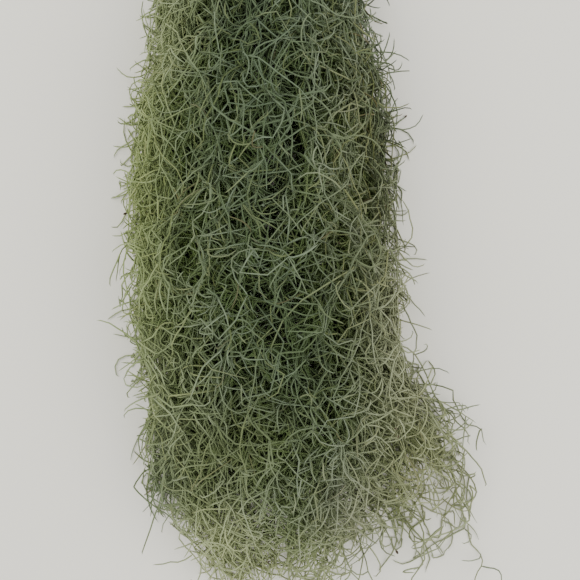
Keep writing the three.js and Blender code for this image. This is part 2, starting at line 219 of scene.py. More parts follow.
# %% [markdown]
# ## A finer copy of each solid
#
# The solid's own stems and leaves belong to the form, but they are coarse, and its core would show as a
# rod. So every piece starts from a copy of its solid that is rounded by a level of subdivision surface.
# Its core sinks a little, and matted threads hide it later. All threads are rooted in this copy.

# %% Objects and meshes
def linked(name, data):
    """A new object in the scene, at the origin."""
    made = bpy.data.objects.new(name, data)
    bpy.context.scene.collection.objects.link(made)
    return made


def mesh_from(name, shape):
    """The mesh of a bmesh, which is freed."""
    mesh = bpy.data.meshes.new(name)
    shape.to_mesh(mesh)
    shape.free()
    return mesh


def finished_mesh(holder):
    """The mesh of an object after its modifiers or its bevel, in place of the object."""
    graph = bpy.context.evaluated_depsgraph_get()
    mesh = bpy.data.meshes.new_from_object(holder.evaluated_get(graph), depsgraph=graph)
    bpy.data.objects.remove(holder)
    return mesh


def places_of(mesh):
    found = np.empty(3 * len(mesh.vertices))
    mesh.vertices.foreach_get("co", found)
    return found.reshape(-1, 3)


# %% A finer copy of the solid itself
DOUBLED = 1e-6  # corners nearer to each other than this are one
CORE_SLIMMER = 0.0018  # by how much a core's surface sinks
SLIM_SHARE = 0.3  # and the share of its thickness by which a thin core's sinks


def rounded(node):
    """A copy of a solid with one level of subdivision surface, and without the solid's attributes."""
    solid = bmesh.new()
    solid.from_mesh(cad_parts[node].data)
    bmesh.ops.remove_doubles(solid, verts=solid.verts, dist=DOUBLED)
    coarse = mesh_from("coarse", solid)
    holder = linked("coarse", coarse)
    rounding = holder.modifiers.new("rounding", "SUBSURF")
    rounding.levels = rounding.render_levels = 1
    mesh = finished_mesh(holder)
    bpy.data.meshes.remove(coarse)
    for name in [layer.name for layer in mesh.attributes if not (layer.is_required or layer.is_internal)]:
        mesh.attributes.remove(mesh.attributes[name])
    return mesh


def tree_of(mesh, places):
    return BVHTree.FromPolygons(places.tolist(), [list(face.vertices) for face in mesh.polygons])


def finer_copy(node):
    """A rounded copy of a solid, whether each of its corners is on a core, and its tree."""
    mesh = rounded(node)
    places = places_of(mesh)
    outward = np.array([vertex.normal for vertex in mesh.vertices])
    thickness = thickness_at(tree_of(mesh, places), places, outward)
    is_core = thickness > CORE_THICKNESS
    slimmer = np.where(is_core, np.minimum(CORE_SLIMMER, SLIM_SHARE * thickness), 0.0)
    sunk = places - slimmer[:, None] * outward
    mesh.vertices.foreach_set("co", sunk.ravel().astype(np.float32))
    return mesh, is_core, tree_of(mesh, sunk)


COPIES = {node: finer_copy(node) for node in TRESSES}
print("faces in the copies:", sum(len(mesh.polygons) for mesh, _, _ in COPIES.values()))

# %% [markdown]
# ## Growing a curling thread
#
# A leaf is an arc, often with a counter bend like a stretched S, and it twists a little out of its plane.
# It could be a Bezier curve with handles placed by hand. Growing it in small steps is simpler: at each
# step the direction is turned by a few degrees, and numpy does this for all threads of a tress at once.
# The first step and the last are short, for a full root and a blunt tip.

# %% Threads grown in small steps
KINK = 0.17  # radians by which a thread strays from its arc at each step


def step_shares(steps, first=0.25, last=0.5):
    """How a thread's length is shared out over its steps."""
    shares = np.ones(steps)
    shares[0], shares[-1] = first, last
    return shares / shares.sum()


def turned(vectors, axes, angles):
    """Vectors turned round axes that stand square to them."""
    return unit(vectors * np.cos(angles)[:, None] + np.cross(axes, vectors) * np.sin(angles)[:, None])


def curl(draw, root, way, side, length, turn, lean, twist, steps):
    """Arcs from their roots: they set off along way and turn towards side. All but steps are arrays.

    With a lean of 0, a thread bends evenly. Up to 1 it bends more at its tip, and beyond 1 it starts with
    a counter bend. Below 0 it's the other way round.
    """
    way = unit(way)
    axis = unit(np.cross(way, side))
    points = [root]
    for i, share in enumerate(step_shares(steps)):
        points.append(points[-1] + way * (length * share)[:, None])
        bend = turn / (steps - 1) * (1 + lean * (2 * (i + 0.5) / steps - 1))
        way = turned(way, axis, bend + KINK * draw.normal(size=len(bend)))
        axis = turned(axis, way, twist / steps + KINK * draw.normal(size=len(bend)))
    return np.stack(points, axis=1)

# %% [markdown]
# ## Leaves
#
# A leaf is 14 to 42 mm long and about a millimetre thick. Most set off towards the loose end, as the
# plant hangs, but many stick out or point back, and that makes the tangle.

# %% A leaf's measures, and leaves that grow from a solid
LEAF_LENGTH = (0.014, 0.026, 0.042)  # least, most common and greatest
LEAF_STEPS = 7
LEAF_TURN, LEAF_LEAN, LEAF_TWIST = (0.6, 3.5), (-1.8, 1.8), (-2.0, 2.0)  # turns in radians
TURN_SHAPE = (1.5, 1.7)  # of the beta curve that the turns are drawn from
OUTWARD, ONWARD, ASIDE = (0.15, 0.6), (-0.3, 1.6), (-0.9, 0.9)  # shares of its way at its root
LESS_ONWARD = 0.7  # at the loose end
BENDS_BACK = 0.5  # how much it bends back to the core and along the bunch


def leaves_from(draw, root, way, side):
    count = len(root)
    turn = LEAF_TURN[0] + (LEAF_TURN[1] - LEAF_TURN[0]) * draw.beta(*TURN_SHAPE, count)
    length = draw.triangular(*LEAF_LENGTH, count)
    lean = draw.uniform(*LEAF_LEAN, count)
    return curl(draw, root, way, side, length, turn, lean, draw.uniform(*LEAF_TWIST, count), LEAF_STEPS)


def solid_leaves(draw, root, outward):
    count = len(root)
    along = flow_in_bunch(root)
    around = unit(np.cross(outward, along))
    way = outward * draw.uniform(*OUTWARD, (count, 1))
    way = way + along * (draw.uniform(*ONWARD, (count, 1)) - LESS_ONWARD * looseness(root))
    way = way + around * draw.uniform(*ASIDE, (count, 1))
    side = draw.normal(size=(count, 3)) - BENDS_BACK * outward + BENDS_BACK * along
    return leaves_from(draw, root, way, side)


print("leaves' lengths in mm:", [round(1000 * length) for length in LEAF_LENGTH])

# %% [markdown]
# ## Wisps of stems
#
# Stems make the locks of the bunch. A few branch from one place of a solid, come out to the depth at
# which their wisp lies, and run along the bunch there, each on its own crooked way. At every node, where
# a leaf sits, a stem sets off at another angle. So it is steered by two numbers: its heading, which
# strays from the bunch's own way at every node, and its depth, which it returns to.

# %% Stems that wander along the bunch
WISP_STEMS = 4
STEM_LENGTH = (0.055, 0.13)
STEM_STEPS = 14
NODE_STEPS = 2  # a stem turns and bears a leaf after every two steps
WISP_DEPTH = (0.6, 0.97, 1.38)  # radius at which a wisp runs: least, most common, greatest
OWN_DEPTH = 0.05
SAG = 0.13  # how much farther wisps reach at the sides, where they sag
END_SLIMMER = 0.25  # and how much less far at the loose end's sides
FLARE_REACH = 0.3  # and how much farther where the loose end fans out
HEADING = 0.54  # radians by which a stem's heading strays at a node
LOOSE_HEADING = 0.7  # how much more it strays at the loose end
HEADING_KEPT = 0.6  # share of its heading that a stem keeps at a node
SWERVE = 0.22  # how much it rises or sinks at a node
TO_DEPTH = 7.0  # how sharply it returns to its depth
STEEPEST = 0.9
START_FADE = 4  # how soon it forgets the way out of the solid


def stems_from(draw, root, outward):
    """The stems of some wisps, wisp by wisp."""
    wisps = len(root)
    count = wisps * WISP_STEMS
    root, outward = (np.repeat(each, WISP_STEMS, axis=0) for each in (root, outward))
    length = draw.uniform(*STEM_LENGTH, count)
    depth = np.repeat(draw.triangular(*WISP_DEPTH, wisps), WISP_STEMS)
    depth = depth + OWN_DEPTH * draw.normal(size=count)
    reach = SAG - END_SLIMMER * looseness(root)[:, 0] + FLARE_REACH * flare_at(root)
    depth = depth * (1 + abs(outward_in_bunch(root)[:, 0]) * reach)
    heading = np.repeat(HEADING * draw.normal(size=wisps), WISP_STEMS)
    points = [root]
    for i, share in enumerate(step_shares(STEM_STEPS)):
        here = points[-1]
        if i % NODE_STEPS == 0:
            stray = HEADING * (1 + LOOSE_HEADING * looseness(here)[:, 0])
            heading = heading * HEADING_KEPT + stray * draw.normal(size=count)
            swerve = SWERVE * draw.normal(size=count)
        out, flow = outward_in_bunch(here), flow_in_bunch(here)
        rise = np.clip(TO_DEPTH * (depth - radius_in_bunch(here)), -STEEPEST, STEEPEST) + swerve
        way = flow * np.cos(heading)[:, None] + np.cross(out, flow) * np.sin(heading)[:, None]
        way = way + out * rise[:, None] + outward * (1 - i / STEM_STEPS) ** START_FADE
        points.append(here + unit(way) * (length * share)[:, None])
    return np.stack(points, axis=1)


print("nodes on a stem:", (STEM_STEPS - 1) // NODE_STEPS)

# %% The leaves at a stem's nodes
STANDS_UP = 1.2  # how much more leaves leave a stem on its outer side
ALONG_STEM, OFF_STEM = (0.4, 1.2), (0.3, 0.8)  # shares of a leaf's way at its root
LESS_ALONG, MORE_OFF = 0.4, 0.3  # at the loose end
BENDS_DOWN = 0.8  # how much leaves bend back into the bunch


def node_leaves(draw, stems):
    """Leaves at the nodes of some stems, and the number of the stem that each is on."""
    nodes = stems[:, NODE_STEPS:-1:NODE_STEPS]
    root = nodes.reshape(-1, 3)
    along = unit(nodes - stems[:, NODE_STEPS - 1 : -2 : NODE_STEPS]).reshape(-1, 3)
    on_stem = np.repeat(np.arange(len(stems)), nodes.shape[1])
    count = len(root)
    out = outward_in_bunch(root)
    aside = unit(np.cross(along, draw.normal(size=(count, 3)) + STANDS_UP * out))
    loose = looseness(root)
    way = along * (draw.uniform(*ALONG_STEM, (count, 1)) - LESS_ALONG * loose)
    way = way + aside * (draw.uniform(*OFF_STEM, (count, 1)) + MORE_OFF * loose)
    side = draw.normal(size=(count, 3)) - BENDS_DOWN * out
    return leaves_from(draw, root, way, side), on_stem


# %% [markdown]
# ## How full the bunch is
#
# The bunch has a dense mass with a ragged lower end, past which fewer threads grow, and two sides, past
# which they soon get rare. Both are given by lists of places, because threads that only wander would
# keep to no outline.

# %% The end and the sides of the dense mass
THINNEST = 0.41  # fullness past the end of the dense mass
END_FADE = (-0.04, 0.025)  # how far past that end it starts to fall, and is there
FLARE_FULLNESS = 0.32  # fullness where the loose end fans out
DENSE_END = np.array((  # in mm: x, and the y at which the dense mass ends there
    (-110, -135), (-80, -170), (-50, -192), (-20, -213), (10, -235), (45, -265), (75, -250), (100, -170),
)) / 1000
SIDES = np.array((  # in mm: y, and the x of the dense mass's left and right side there
    (-285, -20, 60), (-250, -58, 72), (-216, -77, 80), (-187, -94, 89), (-158, -95, 89),
    (-130, -106, 90), (-112, -107, 52), (-58, -108, 47), (-14, -111, 57), (29, -119, 66),
    (72, -112, 78), (115, -109, 69), (158, -107, 64), (200, -102, 50), (270, -80, 30),
)) / 1000


def fullness(points):
    """The share of the threads that grow at each point: 1, and less at the loose end."""
    past_end = np.interp(points[..., 0], *DENSE_END.T) - points[..., 1]
    thinning = 1 - (1 - THINNEST) * smooth(past_end, *END_FADE)
    return thinning * (1 + (FLARE_FULLNESS - 1) * flare_at(points))


def past_sides(points):
    """How far past the sides of the dense mass each point is."""
    left, right = (np.interp(points[..., 1], SIDES[:, 0], SIDES[:, column]) for column in (1, 2))
    return np.maximum(np.maximum(left - points[..., 0], points[..., 0] - right), 0)


print("share of the solids past the sides:", (past_sides(spots) > 0).mean().round(2))

# %% Where threads take root
ROOM = np.array((0.014, 0.012, 0.008))  # how far threads may reach past the solids' box
CELL = 0.015  # side of the square cells in which threads are counted
EVENING = 0.2  # the lower, the more even the roots are over the cells
FIRM_THICKNESS = 0.0007  # a solid's thread that is thinner bears no threads
INNER, OUTER, FACING = 0.3, 1.2, 0.8  # a root's worth inside, outside and facing out
POWER = 3  # how steeply it rises outwards


def exposure(solid):
    """How much a solid's triangles are worth as roots: more near the bunch's outside."""
    middle = solid["middle"]
    faces_out = (solid["outward"] * outward_in_bunch(middle)).sum(1)
    worth = INNER + np.clip(radius_in_bunch(middle), 0, PAST) ** POWER * (OUTER + FACING * faces_out)
    return worth * (solid["thickness"] > FIRM_THICKNESS)


def cell_of(points):
    """The numbers of the square cells, seen from above, that some points are in."""
    return tuple(np.moveaxis((points[..., :2] - CAD_BOX[0][:2] + ROOM[:2]) / CELL, -1, 0).astype(int))


def empty_cells():
    size = np.array(CAD_BOX[1][:2]) - CAD_BOX[0][:2] + 2 * ROOM[:2]
    return np.zeros((size / CELL).astype(int) + 1)


def even_worth():
    """The worth of all solids' triangles, evened out so that each cell gets as many roots."""
    crowd = empty_cells()
    for solid in SOLIDS.values():
        np.add.at(crowd, cell_of(solid["middle"]), solid["area"] * exposure(solid))
    crowd = crowd + EVENING * np.median(crowd[crowd > 0])
    return {
        node: exposure(solid) * fullness(solid["middle"]) / crowd[cell_of(solid["middle"])]
        for node, solid in SOLIDS.items()
    }


def shares_of(worths):
    """Each tress's share of the worth of all."""
    weight = {node: (worths[node] * SOLIDS[node]["area"]).sum() for node in TRESSES}
    return {node: weight[node] / sum(weight.values()) for node in TRESSES}


WORTH = even_worth()
SHARE = shares_of(WORTH)
print("greatest share of the threads:", max(SHARE, key=SHARE.get), max(SHARE.values()).round(2))

# %% [markdown]
# ## Hollows
#
# Between the locks are hollows, where the inner threads show, darkened with painted shade. They could
# come from noise, but a list of places lets the biggest lie where they should. Each is a long patch of
# the bunch's skin, given by how far round the bunch and how far along it lies.

# %% Hollows between the locks
SEED = 9047
AROUND = 0.08  # metres of skin for a radian round the bunch
TOP_HOLLOWS = np.array((  # the biggest, on top, in mm: x, y, half width and half length
    (-34, 145, 14, 20), (-36, 112, 12, 22), (-21, 95, 8, 10), (-3, 82, 6, 9), (-20, 45, 11, 10),
    (-18, -6, 11, 17), (-32, 0, 8, 6), (0, -52, 8, 10), (-13, -75, 13, 18), (-28, -115, 15, 8),
    (-6, -120, 9, 7), (27, -76, 8, 22), (26, -107, 11, 13), (36, 10, 11, 13), (38, 55, 10, 20),
    (43, -23, 8, 10), (-75, 80, 9, 8), (-60, 45, 8, 10), (-62, -10, 6, 10), (15, -140, 9, 7),
    (-68, 118, 7, 9), (-67, -140, 6, 8), (-40, -158, 9, 7),
)) / 1000
MORE_HOLLOWS = 60
HOLLOW_ANGLE, HOLLOW_Y = (0.1, math.pi - 0.1), (-0.16, 0.24)
HOLLOW_WIDTH, HOLLOW_LENGTH = (0.005, 0.0085), (0.01, 0.026)


def on_skin(points):
    """How far round the bunch and how far along it some points are."""
    middle, half, height = outline_at(points[..., 1])
    angle = np.arctan2(points[..., 2] / height, (points[..., 0] - middle) / half)
    return np.stack([AROUND * angle, points[..., 1]], axis=-1)


def top_skin(x, y):
    """The place on the skin that lies at x and y, seen from above."""
    middle, half, _ = outline_at(np.array(y))
    return AROUND * math.acos((x - middle) / half), y


draw = np.random.default_rng(SEED)
# the place of each on the skin, its half width and its half length
HOLLOWS = np.array([top_skin(x, y) + (width, length) for x, y, width, length in TOP_HOLLOWS] + [
    (AROUND * draw.uniform(*HOLLOW_ANGLE), draw.uniform(*HOLLOW_Y),
     draw.uniform(*HOLLOW_WIDTH), draw.uniform(*HOLLOW_LENGTH))
    for _ in range(MORE_HOLLOWS)
])


def hollow_at(points):
    """1 in the middle of a hollow and 0 away from them all."""
    skin = on_skin(points)
    far = (skin[..., None, :] - HOLLOWS[:, :2]) / HOLLOWS[:, 2:]
    return np.exp(-(far**2).sum(-1)).max(-1)


print("hollows:", len(HOLLOWS))

# %% [markdown]
# ## Thinning out
#
# Even roots don't give an even bunch, because wisps stray and meet. So more threads are grown than are
# wanted, and then thinned out where they crowd, in hollows and past the sides of the bunch.

# %% Which threads stay
LEAST_LEVEL = 0.3  # a steep place counts as if it were this level
HOLLOW_FLOOR = (0.71, 0.81)  # radius in the bunch from which on a hollow is empty
SOFT_SIDE = 0.019  # how far past the sides threads still reach
SOFT_END, SOFT_FLARE = 0.008, 0.022  # how much farther at the loose end, and where it fans out
SOFTNESS = 1.3  # below 2, a few threads reach much farther


def spans_of(lines):
    """The middles and the lengths of the spans of some threads."""
    return (lines[:, 1:] + lines[:, :-1]) / 2, np.linalg.norm(lines[:, 1:] - lines[:, :-1], axis=-1)


def crowd_of(all_lines):
    """Metres of thread on a square metre of skin in each cell and the eight around it."""
    crowd = empty_cells()
    for lines in all_lines:
        middles, lengths = spans_of(lines)
        level = np.clip(outward_in_bunch(middles)[..., 2], LEAST_LEVEL, 1)
        np.add.at(crowd, cell_of(middles), lengths * level / CELL**2)
    return sum(np.roll(crowd, (i, j), (0, 1)) for i in (-1, 0, 1) for j in (-1, 0, 1)) / 9


def thinned(threads, density, draws):
    """The threads of all tresses that stay, each tress's as lines and lock values."""
    crowd = crowd_of([lines for lines, _ in threads.values()])
    found = {}
    for node, (lines, lock) in threads.items():
        middles, _ = spans_of(lines)
        wanted = density * fullness(middles)
        share = np.clip(wanted / np.maximum(crowd[cell_of(middles)], 1), 0, 1).mean(1)
        middle = lines[:, lines.shape[1] // 2]
        share = share * (1 - hollow_at(middle) * smooth(radius_in_bunch(middle), *HOLLOW_FLOOR))
        soft = SOFT_SIDE + SOFT_END * looseness(middle)[:, 0] + SOFT_FLARE * flare_at(middle)
        share = share * np.exp(-((past_sides(middles).mean(1) / soft) ** SOFTNESS))
        kept = draws[node].random(len(lines)) < share
        found[node] = lines[kept], lock[kept]
    grown, kept = (sum(len(lines) for lines, _ in some.values()) for some in (threads, found))
    print(kept, "of", grown, "threads stay; there were up to", round(crowd.max()), "m per m2 of skin")
    return found


# %% The stems and leaves of all tresses
ALL_WISPS = 1500
ALL_LEAVES = 3300  # that grow straight from the solids
STEM_DENSITY = 1900  # metres of thread on a square metre of the bunch's skin
LEAF_DENSITY = 2900
ROOT_DEPTH = 0.0003  # how far under the surface of a copy a thread starts
FLOOR_GAP = 0.001  # least height of a thread's middle


def rooted(node, points):
    """The places just under the surface of a finer copy that are nearest to some points."""
    hits = [COPIES[node][2].find_nearest(Vector(point)) for point in points]
    return np.array([hit[0] - ROOT_DEPTH * hit[1] for hit in hits])


def settle(lines):
    """Lays threads on the surface, and tells which stay in the room that the solids' box gives."""
    low, high = (np.array(corner) for corner in CAD_BOX)
    lines[..., 2] = np.maximum(lines[..., 2], FLOOR_GAP)
    return (lines[..., :2] > (low - ROOM)[:2]).all((1, 2)) & (lines < high + ROOM).all((1, 2))


def grow_stems(node, draw):
    """A tress's stems, and their lock values: a draw that each wisp shares."""
    root, outward = pick_points(SOLIDS[node], round(ALL_WISPS * SHARE[node]), draw, WORTH[node])
    stems = stems_from(draw, rooted(node, root), outward)
    lock = np.repeat(draw.random(len(root)), WISP_STEMS)
    kept = settle(stems)
    return stems[kept], lock[kept]


def grow_leaves(node, stems, lock, draw):
    """Leaves on a tress's stems, whose lock values they share, and on its solid."""
    on_stems, stem_of_leaf = node_leaves(draw, stems)
    root, outward = pick_points(SOLIDS[node], round(ALL_LEAVES * SHARE[node]), draw, WORTH[node])
    on_solid = solid_leaves(draw, rooted(node, root), outward)
    leaves = np.concatenate([on_stems, on_solid])
    lock = np.concatenate([lock[stem_of_leaf], draw.random(len(on_solid))])
    kept = settle(leaves)
    return leaves[kept], lock[kept]


DRAWS = {node: np.random.default_rng(SEED + number) for number, node in enumerate(TRESSES)}
STEMS = {node: grow_stems(node, DRAWS[node]) for node in TRESSES}
STEMS = thinned(STEMS, STEM_DENSITY, DRAWS)
LEAVES = {node: grow_leaves(node, *STEMS[node], DRAWS[node]) for node in TRESSES}
LEAVES = thinned(LEAVES, LEAF_DENSITY, DRAWS)

# %% [markdown]
# ## Matted threads
#
# The inside of a real tress is threads too, pressed together. Filling it would cost far too many
# triangles, so threads only cling to the solid core, most of them in the hollows, where it could be
# seen. Each of their steps along the bunch ends at the nearest place on the core.

# %% Matted threads that cling to a tress's core
ALL_MATTED = 1300
MATTED_LENGTH = (0.02, 0.045)
MATTED_STEPS = 7
MATTED_FLOW = 0.4  # how strongly a matted thread turns back to the bunch's way at each step
MATTED_STRAY = 0.35  # and how much it strays
HIDDEN_WORTH = 0.2  # worth as a root away from the hollows
LEAST_SPAN = 0.0003  # a thread with a shorter span is stuck where its core ends


def bare_worth(solid):
    """What exposure tells, for matted threads: more where a hollow bares a core."""
    on_core = solid["thickness"] > CORE_THICKNESS
    return exposure(solid) * on_core * (HIDDEN_WORTH + hollow_at(solid["middle"]))


def matted_threads(node, count, draw):
    """Threads along a core's surface, without those that get stuck where the core ends."""
    solid = SOLIDS[node]
    root, _ = pick_points(solid, count, draw, bare_worth(solid))
    way = flow_in_bunch(root)
    length = draw.uniform(*MATTED_LENGTH, count)
    points = [root]
    for share in step_shares(MATTED_STEPS):
        reached = points[-1] + way * (length * share)[:, None]
        points.append(np.array([solid["tree"].find_nearest(Vector(point))[0] for point in reached]))
        onward = unit(points[-1] - points[-2]) + MATTED_FLOW * flow_in_bunch(points[-1])
        way = unit(onward + MATTED_STRAY * draw.normal(size=(count, 3)))
    points[0] = rooted(node, root)
    lines = np.stack(points, axis=1)
    kept = settle(lines) & (spans_of(lines)[1].min(1) > LEAST_SPAN)
    return lines[kept]


MATTED_SHARE = shares_of({node: bare_worth(solid) for node, solid in SOLIDS.items()})
print("tresses with matted threads:", sum(share > 0 for share in MATTED_SHARE.values()))

# %% Bundles: threads with their thickness, and two numbers for their colour
STEM_RADIUS = (0.00062, 0.0008)
LEAF_RADIUS = (0.0006, 0.00074)
LOCK_SPREAD = 0.12  # how much a thread's own lock value strays from its wisp's
LIVING_TINT = 0.9  # highest tint of stems and matted threads, so that only leaves are dead


def bundle_from(lines, lock, thick, highest_tint, draw):
    count = len(lines)
    lock = np.clip(lock + LOCK_SPREAD * draw.normal(size=count), 0, 1)
    thick = draw.uniform(*thick, count)
    return {"lines": lines, "thick": thick, "tint": draw.uniform(0, highest_tint, count), "lock": lock}


def bundles_of(node, draw):
    """All threads of a tress: its stems, its leaves and its matted threads."""
    matted = matted_threads(node, round(ALL_MATTED * MATTED_SHARE[node]), draw)
    return (
        bundle_from(*STEMS[node], STEM_RADIUS, LIVING_TINT, draw),
        bundle_from(*LEAVES[node], LEAF_RADIUS, 1, draw),
        bundle_from(matted, draw.random(len(matted)), LEAF_RADIUS, LIVING_TINT, draw),
    )


GROWN = {node: bundles_of(node, DRAWS[node]) for node in TRESSES}
for number, name in enumerate(("stems", "leaves", "matted threads")):
    print(name + ":", sum(len(bundles[number]["lines"]) for bundles in GROWN.values()))

# %% [markdown]
# ## From points to a mesh
#
# Blender's curve objects are made for this: a poly spline through each thread's points, with a radius at
# every point, is swept with a small section. Three sides are enough for a thread this thin. The curve
# is then turned into a mesh, because each thread needs its own tint. At both ends the radius goes to
# nothing, and merging the doubled points there closes the thread.

# %% Sweeping threads with a three-sided section
SECTION_SIDES = 3
TAPER = 0.2  # how much thinner a thread is towards its tip
BLUNTNESS = 7  # the higher, the later its tip closes
section_curve = bpy.data.curves.new("section", "CURVE")
section_curve.dimensions = "2D"
section_spline = section_curve.splines.new("POLY")
section_spline.points.add(SECTION_SIDES - 1)
section_spline.use_cyclic_u = True
for i, point in enumerate(section_spline.points):
    angle = 2 * math.pi * i / SECTION_SIDES
    point.co = (math.cos(angle), math.sin(angle), 0, 1)
SECTION = bpy.data.objects.new("section", section_curve)


def sweep(bundles):
    """A mesh of all threads in some bundles, as Blender's curve bevel makes it."""
    curve = bpy.data.curves.new("threads", "CURVE")
    curve.dimensions = "3D"
    curve.bevel_mode = "OBJECT"
    curve.bevel_object = SECTION
    for bundle in bundles:
        lines = bundle["lines"]
        share = np.linspace(0, 1, lines.shape[1])
        profile = (1 - TAPER * share) * np.sqrt(1 - share**BLUNTNESS)
        profile[0] = profile[-1] = 0
        rows = np.concatenate([lines, np.ones(lines.shape[:2] + (1,))], axis=2)
        for row, thick in zip(rows, bundle["thick"]):
            spline = curve.splines.new("POLY")
            spline.points.add(len(row) - 1)
            spline.points.foreach_set("co", row.ravel())
            spline.points.foreach_set("radius", thick * profile)
    mesh = finished_mesh(linked("threads", curve))
    bpy.data.curves.remove(curve)
    return mesh

# %% [markdown]
# ## What each thread tells its material
#
# One flat green would look like plastic. Real threads differ, and the inner ones lie in shade. So every
# thread carries four numbers to the material: tint, a draw of its own; lock, a draw that its wisp
# shares; along, from 0 at its root to 1 at its tip; and deep, which is 0 at the top of the threads
# around it, 1 well below them, and 2 on a core, and sets how much painted shade the thread gets. A UV
# map gives every thread its own strip for baking.

# %% How deep below the threads around it a place is
PATCH = 0.006  # side of the patches of skin on which the threads' top is measured
COLUMNS_BEFORE, BEFORE_BOX = 2, 0.05  # patches and metres of skin left free before the first
# painted shade: deep, and so the painted shade, reaches its full over this depth
DARKEST_SHADE_DEPTH = 0.012  # this far below the threads around, a thread is as dark as any


def patch_of(points):
    """The numbers of the patch that each point is in."""
    skin = on_skin(points)
    along = (skin[:, 1] - CAD_BOX[0][1] + BEFORE_BOX) / PATCH
    return np.stack([skin[:, 0] / PATCH + COLUMNS_BEFORE, along]).astype(int)


def measure_top(points):
    """For each patch, the radius in the bunch that its threads reach, and how dense they are."""
    patch, radius = patch_of(points), radius_in_bunch(points)
    shape = patch.max(1) + 3  # free patches after the last
    count, total, squares = (np.zeros(shape) for _ in range(3))
    for grid, value in ((count, 1.0), (total, radius), (squares, radius**2)):
        np.add.at(grid, tuple(patch), value)
    count, total, squares = (
        sum(np.roll(grid, shift, (0, 1)) for shift in ((0, 0), (1, 0), (-1, 0), (0, 1), (0, -1)))
        for grid in (count, total, squares)
    )
    count = np.maximum(count, 1)
    mean = total / count
    top = mean + np.sqrt(np.maximum(squares / count - mean**2, 0))
    return top, np.clip(count / np.median(count[count > 1]), 0, 1)


def depth_at(points):
    """0 at the top of the threads around a place and 1 well below it."""
    row, column = np.minimum(patch_of(points), np.array(TOP.shape)[:, None] - 1)
    _, half, height = outline_at(points[:, 1])
    below = (TOP[row, column] - radius_in_bunch(points)) * np.minimum(half, height)
    return np.clip(below / DARKEST_SHADE_DEPTH, 0, 1) * DENSITY[row, column]


TOP, DENSITY = measure_top(np.concatenate([
    bundle["lines"].reshape(-1, 3) for bundles in GROWN.values() for bundle in bundles[:2]
]))
print("patches:", TOP.shape, "mean radius of their top:", TOP[TOP > 0].mean().round(2))

# %% Attributes and a UV strip for every thread
UV_NAME = "OFBake"
THREAD_BAND = (0.2, 1.0)  # the part of the UV square that the threads share
STRIP_SHAPE = 5  # a strip is this many times as long as it is wide
END_MARGIN, SIDE_MARGIN = 0.04, 0.1  # share of a strip that stays empty at its ends and sides


def add_values(mesh, **values):
    for name, value in values.items():
        layer = mesh.attributes.new(name, "FLOAT", "POINT")
        layer.data.foreach_set("value", (np.zeros(len(mesh.vertices)) + value).astype(np.float32))


def set_uv(mesh, u, v, low, high):
    """A UV map in the band of the square from low to high."""
    while mesh.uv_layers:
        mesh.uv_layers.remove(mesh.uv_layers[0])
    uv = np.stack([u, low + (high - low) * v], axis=1)
    mesh.uv_layers.new(name=UV_NAME).data.foreach_set("uv", uv.ravel().astype(np.float32))


def describe_threads(mesh, bundles):
    """Gives a swept mesh its numbers and its UV strips."""
    numbers, threads_before = [], 0
    for bundle in bundles:
        threads, points = bundle["lines"].shape[:2]
        strip, point, side = np.indices((threads, points, SECTION_SIDES)).reshape(3, -1)
        numbers.append((threads_before + strip, np.linspace(0, 1, points)[point], side))
        threads_before += threads
    strip, along, side = (np.concatenate(each) for each in zip(*numbers))
    tint, lock = (np.concatenate([each[name] for each in bundles])[strip] for name in ("tint", "lock"))
    add_values(mesh, tint=tint, lock=lock, along=along, deep=depth_at(places_of(mesh)))
    corner = np.empty(len(mesh.loops), int)
    mesh.loops.foreach_get("vertex_index", corner)
    side = side[corner].reshape(-1, 4)
    closes = (side.max(1) == SECTION_SIDES - 1) & (side.min(1) == 0)
    side = np.where(closes[:, None] & (side == 0), SECTION_SIDES, side).ravel()
    columns = max(1, round(math.sqrt(threads_before / STRIP_SHAPE)))
    rows = math.ceil(threads_before / columns)
    u = (strip[corner] % columns + END_MARGIN + (1 - 2 * END_MARGIN) * along[corner]) / columns
    v = (strip[corner] // columns + SIDE_MARGIN + (1 - 2 * SIDE_MARGIN) * side / SECTION_SIDES) / rows
    set_uv(mesh, u, v, *THREAD_BAND)


# %% The same for the finer copies
CORE_BAND = (0.0, 0.19)  # the part of the UV square that a copy takes up
# painted shade: a core gets deeper painted shade than any thread, wherever it lies
CORE_SHADE_DEPTH = 2  # how deep in colour a core is, wherever it lies
COPY_TINTS, COPY_LOCKS = (0.02, 0.3), (0.3, 0.7)
COPY_ALONG = 0.3  # far from a dry tip


def describe_copy(mesh, is_core, draw):
    """Gives a copy its numbers, and a UV map with a cell for each face."""
    tint, lock = draw.uniform(*COPY_TINTS), draw.uniform(*COPY_LOCKS)
    # painted shade: a core counts as deep wherever it lies
    deep = np.maximum(depth_at(places_of(mesh)), np.where(is_core, CORE_SHADE_DEPTH, 0.0))
    add_values(mesh, tint=tint, lock=lock, along=COPY_ALONG, deep=deep)
    faces = len(mesh.polygons)
    columns = math.ceil(math.sqrt(faces))
    cell, corner = np.divmod(np.arange(len(mesh.loops)), 4)
    right, top = (corner == 1) | (corner == 2), corner > 1
    u = (cell % columns + np.where(right, 1 - SIDE_MARGIN, SIDE_MARGIN)) / columns
    v = (cell // columns + np.where(top, 1 - SIDE_MARGIN, SIDE_MARGIN)) / math.ceil(faces / columns)
    set_uv(mesh, u, v, *CORE_BAND)


# %% [markdown]
# ## Materials
#
# The grey scales are far smaller than a thread, so they are a fine noise that lightens the colour and
# roughens the surface. Capsules and threads both have it, so it is a node group.

# %% Small helpers for node trees
def fill(tree, node, values):
    """Links a node's inputs, given by name or number, to sockets, or sets them to plain values."""
    for name, value in values.items():
        if isinstance(value, bpy.types.NodeSocket):
            tree.links.new(value, node.inputs[name])
        else:
            node.inputs[name].default_value = value


